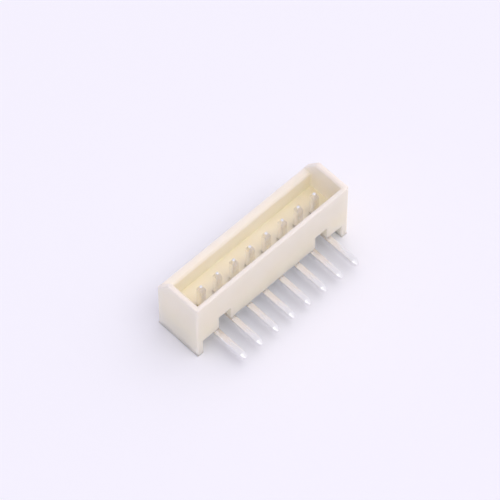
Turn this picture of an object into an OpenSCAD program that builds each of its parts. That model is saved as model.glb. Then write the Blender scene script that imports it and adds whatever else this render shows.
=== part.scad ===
// Right-angle wafer header with one row of terminals.
// It stands on its rear ears with the mating mouth up, and its solder tails point to -Y.
// X runs along the row, Y from the board side to the top side, Z from the rear to the mouth.
// The origin is the middle of the footprint, tails included, on the surface it stands on.

/* [Row] */
// Number of terminals in the row
circuits = 8; // [2:1:15]
// Distance between neighbouring terminals
pitch = 1.25; // [1.1:0.05:2]
// Distance from the outer terminals to the ends of the housing
end_margin = 1.5; // [1.2:0.05:2.5]

/* [Housing] */
// Height of the housing above the circuit board
body_height = 3.2; // [2.9:0.05:4.5]
// Depth of the housing from its rear ears to its mouth
body_depth = 4.7; // [4.4:0.05:6.5]
// Radius of the four upright outer edges
edge_radius = 0.12; // [0.05:0.01:0.2]

/* [Mouth] */
// Depth of the cavity from the mouth to its floor
cavity_depth = 2.3; // [1.8:0.05:2.6]
// Thickness of the wall on the board side
board_wall = 0.3; // [0.22:0.01:0.5]
// Thickness of the wall on the top side
top_wall = 0.55; // [0.4:0.01:0.8]
// Thickness of the two end walls
end_wall = 0.35; // [0.3:0.01:0.6]
// How far the top wall stands back from the mouth
top_setback = 1.05; // [0.6:0.05:1.4]
// Length of the slope that brings each end wall down to the top wall
slope_run = 0.85; // [0.5:0.05:1.4]
// Lead-in chamfer around the cavity
lead_in = 0.1; // [0.04:0.01:0.15]

/* [Rear] */
// Length of the two ears behind the base
ear_length = 1.2; // [0.9:0.05:1.5]
// Thickness of the two ears
ear_thickness = 0.45; // [0.3:0.01:0.7]
// Width of the two notches on the board side
notch_width = 0.9; // [0.6:0.05:1.05]
// Thickness of the floor left above each notch
notch_roof = 0.15; // [0.1:0.01:0.3]
// Thickness of the base left between each notch and the terminals
notch_web = 0.25; // [0.1:0.01:0.4]

/* [Terminals] */
// Side of the square terminal wire
wire = 0.4; // [0.3:0.01:0.48]
// Radius of the long edges of the wire
wire_radius = 0.04; // [0.02:0.01:0.09]
// Height of the terminal row above the circuit board
row_height = 1.25; // [1.1:0.05:1.6]
// How far the terminal tips lie below the mouth
tip_recess = 0.4; // [0.2:0.05:1]
// Straight length of each terminal between the base and its bend
bend_start = 0.05; // [0.02:0.01:0.2]
// Radius of each bend, along the middle of the wire
bend_radius = 0.28; // [0.26:0.01:0.5]
// Length of the tails beyond the board side of the housing
tail_length = 2.3; // [1.2:0.05:3.5]
// Length of the taper at both ends of a terminal
taper_length = 0.3; // [0.1:0.01:0.4]
// Side of the blunt end that each taper leaves
blunt_end = 0.2; // [0.1:0.01:0.28]
// Clearance between a terminal and its hole on each side
hole_clearance = 0.01; // [0.005:0.005:0.03]

/* [Hidden] */
// Overshoot of cutting solids past the faces that they open
past = 0.5;
// Row and housing along X
row_half = (circuits - 1) * pitch / 2;
body_half = row_half + end_margin;
cavity_half = body_half - end_wall;
// Faces across Y
board_y = (tail_length - body_height) / 2;
top_y = board_y + body_height;
cavity_board_y = board_y + board_wall;
cavity_top_y = top_y - top_wall;
row_y = board_y + row_height;
tail_y = board_y - tail_length;
// Levels along Z
floor_z = body_depth - cavity_depth;
top_z = body_depth - top_setback;
tip_z = body_depth - tip_recess;
tail_z = ear_length - bend_start - bend_radius;
// Terminals and the holes that they pass through
wire_half = wire / 2;
hole_half = wire_half + hole_clearance;
blunt_half = blunt_end / 2;
bend_z = tail_z + bend_radius;
bend_y = row_y - bend_radius;
// Notches, half a pitch inside the outer terminals
notch_x = row_half - pitch / 2;
notch_depth = row_height - hole_half - notch_web;
$fn = 48;

// Place of a terminal along the row
function pin_x(i) = (i - 1) * pitch - row_half;

// Extrude an outline drawn in Y and Z along X, over a half length to each side
module along_x(half) {
    rotate([90, 0, 90]) linear_extrude(2 * half, center = true) children();
}

// Extrude an outline drawn in X and Z along Y, from one place to another
module along_y(from, to) {
    translate([0, to, 0]) rotate([90, 0, 0]) linear_extrude(to - from) children();
}

// Box between two corners
module box(low, high) {
    translate(low) cube(high - low);
}

// Outer block with round upright edges
module outer_block() {
    inset_half = body_half - edge_radius;
    linear_extrude(body_depth) {
        translate([-inset_half, board_y]) square([2 * inset_half, body_height]);
        translate([-body_half, board_y + edge_radius])
            square([2 * body_half, body_height - 2 * edge_radius]);
        for (x = [-inset_half, inset_half], y = [board_y + edge_radius, top_y - edge_radius])
            translate([x, y]) circle(edge_radius);
    }
}

// Slope that takes the end walls down to the top wall
module end_slope() {
    along_x(body_half + past) polygon([
        [top_y - slope_run, body_depth],
        [top_y, top_z],
        [top_y + past, top_z],
        [top_y + past, body_depth + past],
        [top_y - slope_run, body_depth + past]
    ]);
}

// Cavity between the end walls, open over the lower top wall
module cavity() {
    along_x(cavity_half) polygon([
        [cavity_board_y, floor_z],
        [cavity_top_y, floor_z],
        [cavity_top_y, top_z - lead_in],
        [cavity_top_y + lead_in, top_z],
        [top_y + past, top_z],
        [top_y + past, body_depth + past],
        [cavity_board_y, body_depth + past]
    ]);
}

// Lead-in around the mouth, mitred where the board wall meets the end walls
module mouth_lead_in() {
    lead_z = body_depth - lead_in;
    intersection() {
        along_y(board_y, top_y) polygon([
            [-cavity_half, lead_z],
            [cavity_half, lead_z],
            [cavity_half + lead_in, body_depth],
            [-cavity_half - lead_in, body_depth]
        ]);
        along_x(body_half) polygon([
            [cavity_board_y, lead_z],
            [top_y, lead_z],
            [top_y, body_depth],
            [cavity_board_y - lead_in, body_depth]
        ]);
    }
}

// Open space behind the base, between the two ears
module rear_opening() {
    opening_half = body_half - ear_thickness;
    box([-opening_half, board_y - past, -past], [opening_half, top_y + past, ear_length]);
}

// Notches on the board side, between the two outer terminals at each end
module notches() {
    for (x = [-notch_x, notch_x])
        box(
            [x - notch_width / 2, board_y - past, ear_length - past],
            [x + notch_width / 2, board_y + notch_depth, floor_z - notch_roof]
        );
}

// Square holes through the base, one for each terminal
module pin_holes() {
    for (i = [1:circuits])
        box(
            [pin_x(i) - hole_half, row_y - hole_half, ear_length - past],
            [pin_x(i) + hole_half, row_y + hole_half, floor_z + past]
        );
}

// Moulded housing
module housing() {
    color([0.90, 0.85, 0.79])
    difference() {
        outer_block();
        end_slope();
        cavity();
        mouth_lead_in();
        rear_opening();
        notches();
        pin_holes();
    }
}

// Section of the wire, square with round corners
module wire_section() {
    inset_half = wire_half - wire_radius;
    square([wire, 2 * inset_half], center = true);
    square([2 * inset_half, wire], center = true);
    for (x = [-inset_half, inset_half], y = [-inset_half, inset_half])
        translate([x, y]) circle(wire_radius);
}

// Wedge as wide as the blunt end at the given height, and as the wire one taper length below
module taper_outline(height) {
    foot_half = blunt_half + height * (wire_half - blunt_half) / taper_length;
    polygon([
        [-foot_half, 0],
        [foot_half, 0],
        [blunt_half, height],
        [-blunt_half, height]
    ]);
}

// Straight stretch of wire along Z from the origin, tapered on all four sides to its end
module straight_wire(length) {
    intersection() {
        linear_extrude(length) wire_section();
        along_x(wire) taper_outline(length);
        along_y(-wire, wire) taper_outline(length);
    }
}

// Bent terminal: post, quarter bend and tail
module pin(i) {
    color([0.80, 0.80, 0.82])
    translate([pin_x(i), 0, 0]) {
        translate([0, row_y, bend_z]) straight_wire(tip_z - bend_z);
        translate([0, bend_y, bend_z])
            rotate([0, 90, 0]) rotate_extrude(angle = 90) translate([bend_radius, 0]) wire_section();
        translate([0, bend_y, tail_z]) rotate([90, 0, 0]) straight_wire(bend_y - tail_y);
    }
}

housing();
for (i = [1:circuits])
    pin(i);
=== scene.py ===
import math
from types import SimpleNamespace

import bmesh
import bpy
import numpy as np
from mathutils import Matrix, Vector


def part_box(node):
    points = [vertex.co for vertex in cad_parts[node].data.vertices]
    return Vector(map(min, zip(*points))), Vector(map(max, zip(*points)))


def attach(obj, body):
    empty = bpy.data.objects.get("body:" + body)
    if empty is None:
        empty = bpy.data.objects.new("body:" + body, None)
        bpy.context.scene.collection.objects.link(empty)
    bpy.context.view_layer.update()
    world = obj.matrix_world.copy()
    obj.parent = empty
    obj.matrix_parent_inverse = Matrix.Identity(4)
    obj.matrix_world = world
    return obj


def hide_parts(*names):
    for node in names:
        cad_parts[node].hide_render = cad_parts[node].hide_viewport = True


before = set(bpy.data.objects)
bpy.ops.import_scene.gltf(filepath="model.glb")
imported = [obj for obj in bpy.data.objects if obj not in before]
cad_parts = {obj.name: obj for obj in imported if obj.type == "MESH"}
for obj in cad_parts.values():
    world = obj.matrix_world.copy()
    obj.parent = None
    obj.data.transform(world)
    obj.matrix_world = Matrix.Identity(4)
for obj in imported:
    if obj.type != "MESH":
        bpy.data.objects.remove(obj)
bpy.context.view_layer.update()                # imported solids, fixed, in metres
mm = 0.001
weldGap = 0.0005 * mm            # points nearer than this become one
placeGap = 0.001 * mm            # places nearer than this count as the same
pinNames = [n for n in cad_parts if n.startswith("pin_")]
pinNames.sort(key=lambda n: int(n.removeprefix("pin_")))
pinBoxes = [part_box(n) for n in pinNames]
pinLow, pinHigh = pinBoxes[0]
housingLow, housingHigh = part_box("housing")
wireHalf = (pinHigh.x - pinLow.x) / 2
rowX = np.array([(low.x + high.x) / 2 for low, high in pinBoxes])
rowY = pinHigh.y - wireHalf      # middle of the posts
tailZ = pinLow.z + wireHalf      # middle of the tails
print("frame loaded with", len(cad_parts), "nodes")


# pieces from whole arrays

def newMesh(name, points, faces):
    mesh = bpy.data.meshes.new(name)
    mesh.from_pydata(points.reshape(-1, 3).tolist(), [], faces)
    return mesh


def weldMesh(mesh):
    work = bmesh.new()
    work.from_mesh(mesh)
    bmesh.ops.remove_doubles(work, verts=work.verts, dist=weldGap)
    bmesh.ops.dissolve_degenerate(work, edges=work.edges, dist=weldGap)
    work.to_mesh(mesh)
    work.free()


def showPiece(mesh, material, node):
    mesh.polygons.foreach_set("use_smooth", np.ones(len(mesh.polygons), bool))
    mesh.materials.append(material)
    piece = bpy.data.objects.new(mesh.name, mesh)
    bpy.context.scene.collection.objects.link(piece)
    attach(piece, "root")
    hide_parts(node)
    return piece


def keepFlats(piece):
    steady = piece.modifiers.new("flatNormals", "WEIGHTED_NORMAL")  # large flats keep their own normal
    steady.keep_sharp = False
    steady.weight = 100            # large faces count most


# shader helpers

def newMaterial(name):
    material = bpy.data.materials.new(name)
    material.use_nodes = True
    tree = material.node_tree
    return material, tree, tree.nodes["Principled BSDF"]


def addNode(tree, kind, **values):
    node = tree.nodes.new(kind)
    for key, value in values.items():
        setattr(node, key, value)
    return node


def setInputs(node, **values):
    for key, value in values.items():
        node.inputs[key].default_value = value
    return node


# surface group: soft blotches and fine grain, each put out from about 0.3 to 0.7
def buildGrainGroup():
    group = bpy.data.node_groups.new("surfaceGrain", "ShaderNodeTree")
    face = group.interface
    face.new_socket("Place", in_out="INPUT", socket_type="NodeSocketVector")
    for name in ("Blotch Scale", "Grain Scale"):
        face.new_socket(name, in_out="INPUT", socket_type="NodeSocketFloat")
    for name in ("Blotch", "Grain"):
        face.new_socket(name, in_out="OUTPUT", socket_type="NodeSocketFloat")
    start = addNode(group, "NodeGroupInput")
    end = addNode(group, "NodeGroupOutput")
    for name, detail in (("Blotch", 3.0), ("Grain", 5.0)):
        noise = addNode(group, "ShaderNodeTexNoise", noise_dimensions="3D")
        noise.inputs["Detail"].default_value = detail
        group.links.new(start.outputs["Place"], noise.inputs["Vector"])
        group.links.new(start.outputs[name + " Scale"], noise.inputs["Scale"])
        group.links.new(noise.outputs["Fac"], end.inputs[name])
    return group


grainGroup = buildGrainGroup()


blotchSpan = (0.35, 0.65)        # part of the blotches that the two colours run over
grainSpan = (0.3, 0.7)           # part of the grain that the roughness runs over


def mixColours(tree, mask, first, second):
    ramp = addNode(tree, "ShaderNodeValToRGB")
    for stop, place, colour in zip(ramp.color_ramp.elements, blotchSpan, (first, second)):
        stop.position = place
        stop.color = (*colour, 1)
    tree.links.new(mask, ramp.inputs["Fac"])
    return ramp.outputs["Color"]


def mapRange(tree, value, low, high):
    node = addNode(tree, "ShaderNodeMapRange")
    setInputs(node, **{"From Min": grainSpan[0], "From Max": grainSpan[1], "To Min": low, "To Max": high})
    tree.links.new(value, node.inputs["Value"])
    return node.outputs["Result"]


# the group's blotches go to colour, its grain to roughness and to a fine bump
def coverSurface(tree, shader, place, s):
    grain = addNode(tree, "ShaderNodeGroup", node_tree=grainGroup)
    setInputs(grain, **{"Blotch Scale": 1 / s["blotchSize"], "Grain Scale": 1 / s["grainSize"]})
    tree.links.new(place, grain.inputs["Place"])
    colour = mixColours(tree, grain.outputs["Blotch"], s["deep"], s["light"])
    rough = mapRange(tree, grain.outputs["Grain"], *s["roughness"])
    bump = addNode(tree, "ShaderNodeBump")
    setInputs(bump, Strength=1.0, Distance=s["grainHeight"])
    tree.links.new(grain.outputs["Grain"], bump.inputs["Height"])
    tree.links.new(colour, shader.inputs["Base Color"])
    tree.links.new(rough, shader.inputs["Roughness"])
    tree.links.new(bump.outputs["Normal"], shader.inputs["Normal"])


# ivory moulding: warm natural plastic, satin, that lets some light through its thin walls

ivorySet = {
    "light": (0.960, 0.886, 0.698),
    "deep": (0.949, 0.870, 0.672),
    "blotchSize": 1.8 * mm,
    "grainSize": 0.09 * mm,
    "grainHeight": 0.0012 * mm,
    "roughness": (0.42, 0.52),
    "throughLight": 0.85,          # share of light that scatters inside
    "throughDepth": 1.4 * mm,
    "throughColour": (1.0, 0.92, 0.85),
    "refraction": 1.5,
}


def ivoryMoulding():
    s = ivorySet
    material, tree, shader = newMaterial("ivoryMoulding")
    place = addNode(tree, "ShaderNodeTexCoord").outputs["Object"]
    coverSurface(tree, shader, place, s)
    setInputs(shader, **{
        "IOR": s["refraction"],
        "Subsurface Weight": s["throughLight"],
        "Subsurface Radius": s["throughColour"],
        "Subsurface Scale": s["throughDepth"],
    })
    return material


# tinned wire: satin silver with faint drawing lines along its length

tinSet = {
    "light": (0.930, 0.920, 0.930),
    "deep": (0.880, 0.870, 0.880),
    "blotchSize": 0.35 * mm,
    "grainSize": 0.02 * mm,
    "grainStretch": 30,            # lines are this many times longer than wide
    "grainHeight": 0.0006 * mm,
    "roughness": (0.20, 0.30),
}


def tinnedWire():
    s = tinSet
    material, tree, shader = newMaterial("tinnedWire")
    along = addNode(tree, "ShaderNodeUVMap", uv_map="wrap")      # U round the wire, V along it
    squeeze = addNode(tree, "ShaderNodeMapping")
    squeeze.inputs["Scale"].default_value = (1, 1 / s["grainStretch"], 1)
    tree.links.new(along.outputs["UV"], squeeze.inputs["Vector"])
    coverSurface(tree, shader, squeeze.outputs["Vector"], s)
    setInputs(shader, Metallic=1.0)
    return material


ivory = ivoryMoulding()
tin = tinnedWire()
print("materials made")


# housing: the skin of the filled cells of a grid whose cuts are the faces of the moulding

housingSet = {
    "boardWall": 0.30 * mm,
    "topWall": 0.55 * mm,
    "endWall": 0.35 * mm,
    "cavityDepth": 2.30 * mm,
    "topSetback": 1.05 * mm,
    "slopeRun": 0.85 * mm,
    "leadIn": 0.10 * mm,
    "earLength": 1.20 * mm,
    "earThickness": 0.45 * mm,
    "notchWidth": 0.90 * mm,
    "notchRoof": 0.15 * mm,
    "notchWeb": 0.25 * mm,
    "holeClearance": 0.01 * mm,
    "uprightRadius": 0.12 * mm,    # four upright outer edges
    "mouldRadius": 0.05 * mm,      # every other edge
    "holeRadius": 0.012 * mm,      # edges round the terminals
    "footRadius": 0.006 * mm,      # edges that the ears stand on
    "roundSegments": 3,
}


# planes of the moulding, from the frame's boxes inwards
def housingPlanes(s):
    boardY, topY, mouthZ = housingLow.y, housingHigh.y, housingHigh.z
    holeHalf = wireHalf + s["holeClearance"]
    floorZ = mouthZ - s["cavityDepth"]
    return SimpleNamespace(
        endX=housingHigh.x,
        cavityX=housingHigh.x - s["endWall"],
        earX=housingHigh.x - s["earThickness"],
        notchX=(rowX[-1] + rowX[-2]) / 2,
        notchHalf=s["notchWidth"] / 2,
        holeHalf=holeHalf,
        boardY=boardY,
        cavityLow=boardY + s["boardWall"],
        notchY=rowY - holeHalf - s["notchWeb"],
        slopeY=topY - s["slopeRun"],
        cavityHigh=topY - s["topWall"],
        topY=topY,
        baseZ=housingLow.z + s["earLength"],
        notchZ=floorZ - s["notchRoof"],
        floorZ=floorZ,
        rimZ=mouthZ - s["topSetback"],
        mouthZ=mouthZ,
    )


# cells that are plastic: all but the mouth, the room behind the base, the notches and the holes
def housingCells(at, s):
    halfX = np.array([at.endX, at.cavityX, at.earX, at.notchX - at.notchHalf, at.notchX + at.notchHalf])
    holeY = [rowY - at.holeHalf, rowY + at.holeHalf]
    leadZ = [at.rimZ - s["leadIn"], at.mouthZ - s["leadIn"]]
    cuts = [
        np.sort(np.concatenate([-halfX, halfX, rowX - at.holeHalf, rowX + at.holeHalf])),
        np.sort([at.boardY, at.cavityLow, at.notchY, *holeY, at.slopeY, at.cavityHigh, at.topY]),
        np.sort([housingLow.z, at.baseZ, at.notchZ, at.floorZ, at.rimZ, at.mouthZ, *leadZ]),
    ]
    x, y, z = np.meshgrid(*[(c[:-1] + c[1:]) / 2 for c in cuts], indexing="ij")
    fromPin = np.abs(x[..., None] - rowX).min(axis=-1)
    fromNotch = np.abs(np.abs(x) - at.notchX)
    openTop = (y < at.cavityHigh) | (z > at.rimZ)
    mouth = (np.abs(x) < at.cavityX) & (y > at.cavityLow) & (z > at.floorZ) & openTop
    behind = (np.abs(x) < at.earX) & (z < at.baseZ)
    notch = (fromNotch < at.notchHalf) & (y < at.notchY) & (z < at.notchZ)
    hole = (fromPin < at.holeHalf) & (np.abs(y - rowY) < at.holeHalf) & (z < at.floorZ)
    return cuts, ~(mouth | behind | notch | hole)


# faces between filled and empty cells: the four corners of each, turned to look out of the filled one
def cellSkin(cuts, filled):
    counts = [len(c) for c in cuts]
    number = np.arange(np.prod(counts)).reshape(counts)
    solid = np.pad(filled, 1)
    quads = []
    for axis in range(3):
        n = np.moveaxis(number, axis, 0)
        ring = np.stack([n[:, :-1, :-1], n[:, 1:, :-1], n[:, 1:, 1:], n[:, :-1, 1:]], axis=-1)
        cells = np.moveaxis(solid, axis, 0)[:, 1:-1, 1:-1]
        ends = ring[cells[:-1] & ~cells[1:]]
        starts = ring[~cells[:-1] & cells[1:]]
        if axis == 1:                                     # X, Z is a left-handed pair for Y
            ends, starts = starts, ends
        quads += [ends, starts[:, ::-1]]
    used, faces = np.unique(np.concatenate(quads), return_inverse=True)
    grid = np.stack(np.meshgrid(*cuts, indexing="ij"), axis=-1).reshape(-1, 3)
    return grid[used], faces.reshape(-1, 4)


# end walls come down to the top wall: z = rim + (z - rim) * part of the slope left;
# the edges of the lead-in lean out by its width
def shapeMouth(points, at, s):
    x, y, z = points.T
    left = 1 - np.clip((y - at.slopeY) / s["slopeRun"], 0, 1)
    atMouth, atRim = np.isclose(z, at.mouthZ), np.isclose(z, at.rimZ)
    inside = np.abs(x) < at.cavityX + s["leadIn"] / 2
    onEnd = np.isclose(np.abs(x), at.cavityX) & (y > at.cavityLow - s["leadIn"] / 2)
    onBoard = np.isclose(y, at.cavityLow) & inside
    onTop = np.isclose(y, at.cavityHigh) & inside
    newX = x + np.sign(x) * s["leadIn"] * left * (atMouth & onEnd)
    newY = y + s["leadIn"] * (atRim & onTop) - s["leadIn"] * (atMouth & onBoard)
    newZ = np.where(z > at.rimZ, at.rimZ + (z - at.rimZ) * left, z)
    return np.stack([newX, newY, newZ], axis=-1)


def readArray(items, name, width, kind):
    values = np.zeros(len(items) * width, kind)
    items.foreach_get(name, values)
    return values.reshape(-1, width) if width > 1 else values


# both ends of each edge
def edgeEnds(mesh):
    return readArray(mesh.vertices, "co", 3, float)[readArray(mesh.edges, "vertices", 2, int)]


# angle between the normals of the two faces at each edge
def edgeTurns(mesh):
    normals = readArray(mesh.polygons, "normal", 3, float)
    sides = readArray(mesh.polygons, "loop_total", 1, int)
    loopEdge = readArray(mesh.loops, "edge_index", 1, int)
    loopFace = np.repeat(np.arange(len(sides)), sides)
    pair = loopFace[np.argsort(loopEdge, kind="stable")].reshape(-1, 2)
    return np.arccos(np.clip((normals[pair[:, 0]] * normals[pair[:, 1]]).sum(axis=1), -1, 1))


flatTurn = math.radians(1)       # faces that turn by less are one flat
sharpTurn = math.radians(15)     # edges that turn by more are rounded


# each flat becomes one face, so that no cut of the grid holds back a round edge beside it;
# the two lines along the terminal holes stay, because a face with a hole isn't possible
def joinFlats(mesh, at):
    fromRow = np.abs(edgeEnds(mesh)[:, :, 1] - rowY)
    alongHoles = np.isclose(fromRow, at.holeHalf, atol=placeGap).all(axis=1)
    flat = (edgeTurns(mesh) < flatTurn) & ~alongHoles
    work = bmesh.new()
    work.from_mesh(mesh)
    work.edges.ensure_lookup_table()
    bmesh.ops.dissolve_edges(work, edges=[work.edges[i] for i in np.flatnonzero(flat)], use_verts=True)
    work.to_mesh(mesh)
    work.free()


# weight of each edge: its radius over the largest one, or none where it isn't sharp
def edgeWeights(mesh, at, s):
    both = edgeEnds(mesh)
    x, y, z = both.mean(axis=1).T
    upright = np.isclose(both[:, 0, :2], both[:, 1, :2], atol=placeGap).all(axis=1)
    outer = np.isclose(np.abs(x), at.endX) & (np.isclose(y, at.boardY) | np.isclose(y, at.topY))
    reach = at.holeHalf + s["holeClearance"]
    atHole = (np.abs(x[:, None] - rowX).min(axis=1) < reach) & (np.abs(y - rowY) < reach)
    radius = np.where(atHole, s["holeRadius"], s["mouldRadius"])
    radius = np.where(upright & outer, s["uprightRadius"], radius)
    radius = np.where(upright & atHole, 0, radius)
    radius = np.where(np.isclose(z, housingLow.z), s["footRadius"], radius)
    return ((edgeTurns(mesh) > sharpTurn) * radius / s["uprightRadius"]).astype(np.float32)


def buildHousing():
    s = housingSet
    at = housingPlanes(s)
    points, faces = cellSkin(*housingCells(at, s))
    mesh = newMesh("housingMoulding", shapeMouth(points, at, s), faces.tolist())
    weldMesh(mesh)
    joinFlats(mesh, at)
    weights = edgeWeights(mesh, at, s)
    mesh.attributes.new("bevel_weight_edge", "FLOAT", "EDGE").data.foreach_set("value", weights)
    piece = showPiece(mesh, ivory, "housing")
    bevel = piece.modifiers.new("mouldedEdges", "BEVEL")
    bevel.limit_method = "WEIGHT"
    bevel.offset_type = "OFFSET"
    bevel.width = s["uprightRadius"]
    bevel.segments = s["roundSegments"]
    bevel.use_clamp_overlap = True
    keepFlats(piece)


buildHousing()
print("housing built")


# terminals: a rounded square carried down the post, round the bend and out along the tail

terminalSet = {
    "bendRadius": 0.28 * mm,
    "taperLength": 0.30 * mm,
    "bluntEnd": 0.20 * mm,
    "cornerRadius": 0.04 * mm,
    "tipRadius": 0.09 * mm,        # round top of the post
    "tailRadius": 0.03 * mm,       # rim of the tail's end
    "shoulder": 0.02 * mm,         # half length of the soft change from wire to taper
    "cornerSteps": 5,
    "rimSteps": 6,
    "bendSteps": 14,
}


# rounded square of half side 1: a quarter circle about each corner centre, turned four times
def roundedSquare(corner, steps):
    turn = np.linspace(0, math.pi / 2, steps)
    x, y = np.cos(turn) * corner + 1 - corner, np.sin(turn) * corner + 1 - corner
    quarters = [(x, y), (-y, x), (-x, -y), (y, -x)]
    return np.concatenate([np.stack(q, axis=-1) for q in quarters])


# half width against the distance from an end: rounded rim, straight taper, soft shoulder, full wire
def taperSteps(s, rimRadius):
    blunt = s["bluntEnd"] / 2
    turn = np.linspace(0, math.pi / 2, s["rimSteps"])
    rimAway = rimRadius * (1 - np.cos(turn))
    rimHalf = blunt - rimRadius * (1 - np.sin(turn))
    slope = (wireHalf - blunt) / (s["taperLength"] - rimRadius)
    blend = np.array([-1, 0, 1])
    away = np.concatenate([rimAway, s["taperLength"] + s["shoulder"] * blend])
    half = np.concatenate([rimHalf, wireHalf - slope * s["shoulder"] * ((1 - blend) / 2) ** 2])
    return away, half


# middle line in Y and Z with its lean (0 on the post, a right angle on the tail) and half width
def terminalPath(s):
    bendY, bendZ = rowY - s["bendRadius"], tailZ + s["bendRadius"]
    postAway, postHalf = taperSteps(s, s["tipRadius"])
    tailAway, tailHalf = taperSteps(s, s["tailRadius"])
    turn = np.linspace(0, math.pi / 2, s["bendSteps"])
    postZ, tailY = pinHigh.z - postAway, pinLow.y + tailAway[::-1]
    y = np.concatenate([np.full_like(postZ, rowY), bendY + s["bendRadius"] * np.cos(turn), tailY])
    z = np.concatenate([postZ, bendZ - s["bendRadius"] * np.sin(turn), np.full_like(tailY, tailZ)])
    lean = np.concatenate([np.zeros_like(postZ), turn, np.full_like(tailY, math.pi / 2)])
    return y, z, lean, np.concatenate([postHalf, np.full_like(turn, wireHalf), tailHalf[::-1]])


# point = path + X * u + outward * v, where outward turns with the bend from +Y to -Z
def buildTerminal(node, middleX):
    s = terminalSet
    y, z, lean, half = terminalPath(s)
    outline = roundedSquare(s["cornerRadius"] / wireHalf, s["cornerSteps"])
    u, v = half[:, None] * outline[:, 0], half[:, None] * outline[:, 1]
    points = np.stack([
        middleX + u,
        y[:, None] + v * np.cos(lean)[:, None],
        z[:, None] - v * np.sin(lean)[:, None],
    ], axis=-1)
    rings, around = u.shape
    number = np.arange(rings * around).reshape(rings, around)
    after = np.roll(number, -1, axis=1)
    quads = np.stack([number[:-1], number[1:], after[1:], after[:-1]], axis=-1).reshape(-1, 4)
    caps = [number[0].tolist(), number[-1, ::-1].tolist()]
    mesh = newMesh(node + "Wire", points, quads.tolist() + caps)

    # wrap: U is the way round the outline, V the way along the path; the caps take the outline itself
    sides = np.linalg.norm(np.diff(outline, axis=0, append=outline[:1]), axis=1) * wireHalf
    steps = np.hypot(np.diff(y), np.diff(z))
    roundWay, alongWay = np.cumsum(np.append(0, sides)), np.cumsum(np.append(0, steps))
    way = np.stack(np.meshgrid(roundWay, alongWay), axis=-1)
    wrap = np.stack([way[:-1, :-1], way[1:, :-1], way[1:, 1:], way[:-1, 1:]], axis=2)
    ends = [outline * half[0], outline[::-1] * half[-1]]
    layer = mesh.uv_layers.new(name="wrap")
    layer.data.foreach_set("uv", np.concatenate([wrap.reshape(-1, 2), *ends]).astype(np.float32).ravel())
    keepFlats(showPiece(mesh, tin, node))


for node, middleX in zip(pinNames, rowX):
    buildTerminal(node, middleX)
print("terminals built:", len(pinNames))


# stage: a pale floor under a bright sky, with one lamp in front for the sparks on the wire ends

stageSet = {
    "pale": (0.850, 0.840, 0.900),           # seen by the camera and in the metal
    "floorColour": (0.872, 0.930, 0.966),
    "floorRoughness": 0.9,
    "floorSide": 1.2,
    "floorDrop": 0.03 * mm,                  # hair of room under the ears, so that their feet take light
    "skyLeft": (0.420, 0.415, 0.580),        # even light from the left of the picture
    "skyRight": (0.468, 0.362, 0.292),       # and from its right
    "skyHigh": (1.785, 1.598, 1.720),        # in the middle of the bright patch overhead
    "skySide": (0.72, -0.70, 0.00),          # way to the right in the picture
    "skyTilt": (0.29, -0.13, 1.00),          # way to the bright patch
    "skyFocus": 2.85,
    "lampFrom": (0.09, -0.43, 0.90),         # way to the lamp
    "lampAway": 0.60,
    "lampSide": 0.32,
    "lampPower": 0.36,
}


def buildFloor(s):
    side, z = s["floorSide"] / 2, -s["floorDrop"]
    corners = np.array([(-side, -side, z), (side, -side, z), (side, side, z), (-side, side, z)])
    mesh = newMesh("floor", corners, [(0, 1, 2, 3)])
    floor = bpy.data.objects.new("floor", mesh)
    bpy.context.scene.collection.objects.link(floor)
    material, _, shader = newMaterial("paleFloor")
    setInputs(shader, **{
        "Base Color": (*s["floorColour"], 1),
        "Roughness": s["floorRoughness"],
        "Specular IOR Level": 0.0,
    })
    mesh.materials.append(material)


def buildLamp(s):
    data = bpy.data.lights.new("sparkLamp", "AREA")
    data.shape = "DISK"
    data.size = s["lampSide"]
    data.energy = s["lampPower"]
    lamp = bpy.data.objects.new("sparkLamp", data)
    toLamp = Vector(s["lampFrom"]).normalized()
    lamp.location = toLamp * s["lampAway"]
    lamp.rotation_mode = "QUATERNION"
    lamp.rotation_quaternion = (-toLamp).to_track_quat("-Z", "Y")
    bpy.context.scene.collection.objects.link(lamp)


mixFrom, mixTo, mixOut = 6, 7, 2   # colour sockets of a Mix node


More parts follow.
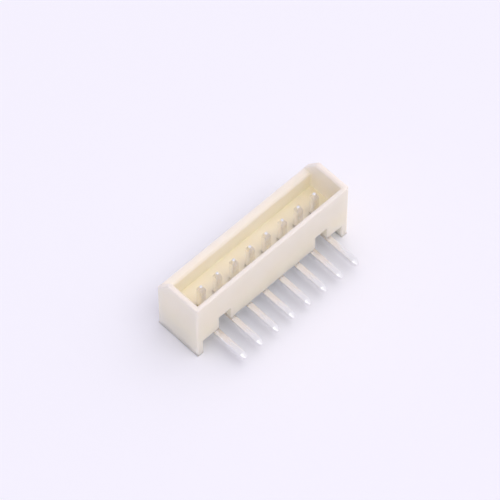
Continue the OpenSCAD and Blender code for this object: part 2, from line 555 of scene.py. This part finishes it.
# even light from left to right by direction . side, then light = even + (high - even) * patch,
# patch = max(direction . tilt, 0) ** focus; the pale colour takes its place where the sky is seen
def buildSky(s):
    world = bpy.data.worlds.new("brightSky")
    bpy.context.scene.world = world
    world.use_nodes = True
    sky = world.node_tree
    direction = addNode(sky, "ShaderNodeTexCoord").outputs["Generated"]
    facing = addNode(sky, "ShaderNodeVectorMath", operation="DOT_PRODUCT")
    facing.inputs[1].default_value = Vector(s["skyTilt"]).normalized()
    upper = addNode(sky, "ShaderNodeMath", operation="MAXIMUM")
    upper.inputs[1].default_value = 0
    patch = addNode(sky, "ShaderNodeMath", operation="POWER")
    patch.inputs[1].default_value = s["skyFocus"]
    side = addNode(sky, "ShaderNodeVectorMath", operation="DOT_PRODUCT")
    side.inputs[1].default_value = s["skySide"]
    share = setInputs(addNode(sky, "ShaderNodeMapRange"), **{"From Min": -1})
    even = addNode(sky, "ShaderNodeMix", data_type="RGBA")
    even.inputs[mixFrom].default_value = (*s["skyLeft"], 1)
    even.inputs[mixTo].default_value = (*s["skyRight"], 1)
    light = addNode(sky, "ShaderNodeMix", data_type="RGBA")
    light.inputs[mixTo].default_value = (*s["skyHigh"], 1)
    path = addNode(sky, "ShaderNodeLightPath")
    shown = addNode(sky, "ShaderNodeMath", operation="MAXIMUM")
    seen = addNode(sky, "ShaderNodeMath", operation="MAXIMUM")
    choice = addNode(sky, "ShaderNodeMix", data_type="RGBA")
    choice.inputs[mixTo].default_value = (*s["pale"], 1)
    for start, end in (
        (direction, facing.inputs[0]),
        (facing.outputs["Value"], upper.inputs[0]),
        (upper.outputs["Value"], patch.inputs[0]),
        (patch.outputs["Value"], light.inputs[0]),
        (direction, side.inputs[0]),
        (side.outputs["Value"], share.inputs["Value"]),
        (share.outputs["Result"], even.inputs[0]),
        (even.outputs[mixOut], light.inputs[mixFrom]),
        (path.outputs["Is Camera Ray"], shown.inputs[0]),
        (path.outputs["Is Transmission Ray"], shown.inputs[1]),
        (shown.outputs["Value"], seen.inputs[0]),
        (path.outputs["Is Glossy Ray"], seen.inputs[1]),
        (seen.outputs["Value"], choice.inputs[0]),
        (light.outputs[mixOut], choice.inputs[mixFrom]),
        (choice.outputs[mixOut], sky.nodes["Background"].inputs["Color"]),
    ):
        sky.links.new(start, end)


buildFloor(stageSet)
buildLamp(stageSet)
buildSky(stageSet)
print("stage set")


# camera: the photograph's angle, scale and framing

cameraSet = {
    "azimuth": -44.2,
    "elevation": 57.55,
    "away": 0.192,
    "pixelsPerMm": 18.17,
    "framePixels": 500,
    "edgePixel": (273.95, 249.25),  # middle of the board wall's mouth edge in the frame
    "sensor": 36.0,
    "clip": (0.01, 10),
}


def buildCamera():
    s = cameraSet
    a, e = math.radians(s["azimuth"]), math.radians(s["elevation"])
    back = Vector((math.sin(a) * math.cos(e), -math.cos(a) * math.cos(e), math.sin(e)))
    right = Vector((math.cos(a), math.sin(a), 0))
    up = back.cross(right)
    metresPerPixel = mm / s["pixelsPerMm"]
    edge = Vector((0, housingLow.y, housingHigh.z))
    across = (s["edgePixel"][0] - s["framePixels"] / 2) * metresPerPixel
    upward = (s["framePixels"] / 2 - s["edgePixel"][1]) * metresPerPixel
    aim = edge - right * across - up * upward
    data = bpy.data.cameras.new("camera")
    data.sensor_width = s["sensor"]
    data.lens = s["sensor"] * s["away"] / (s["framePixels"] * metresPerPixel)
    data.clip_start, data.clip_end = s["clip"]
    camera = bpy.data.objects.new("camera", data)
    turned = Matrix((right, up, back)).transposed().to_4x4()
    camera.matrix_world = Matrix.Translation(aim + back * s["away"]) @ turned
    bpy.context.scene.collection.objects.link(camera)
    bpy.context.scene.camera = camera


buildCamera()
bpy.context.scene.view_settings.view_transform = "Standard"
print("camera set")
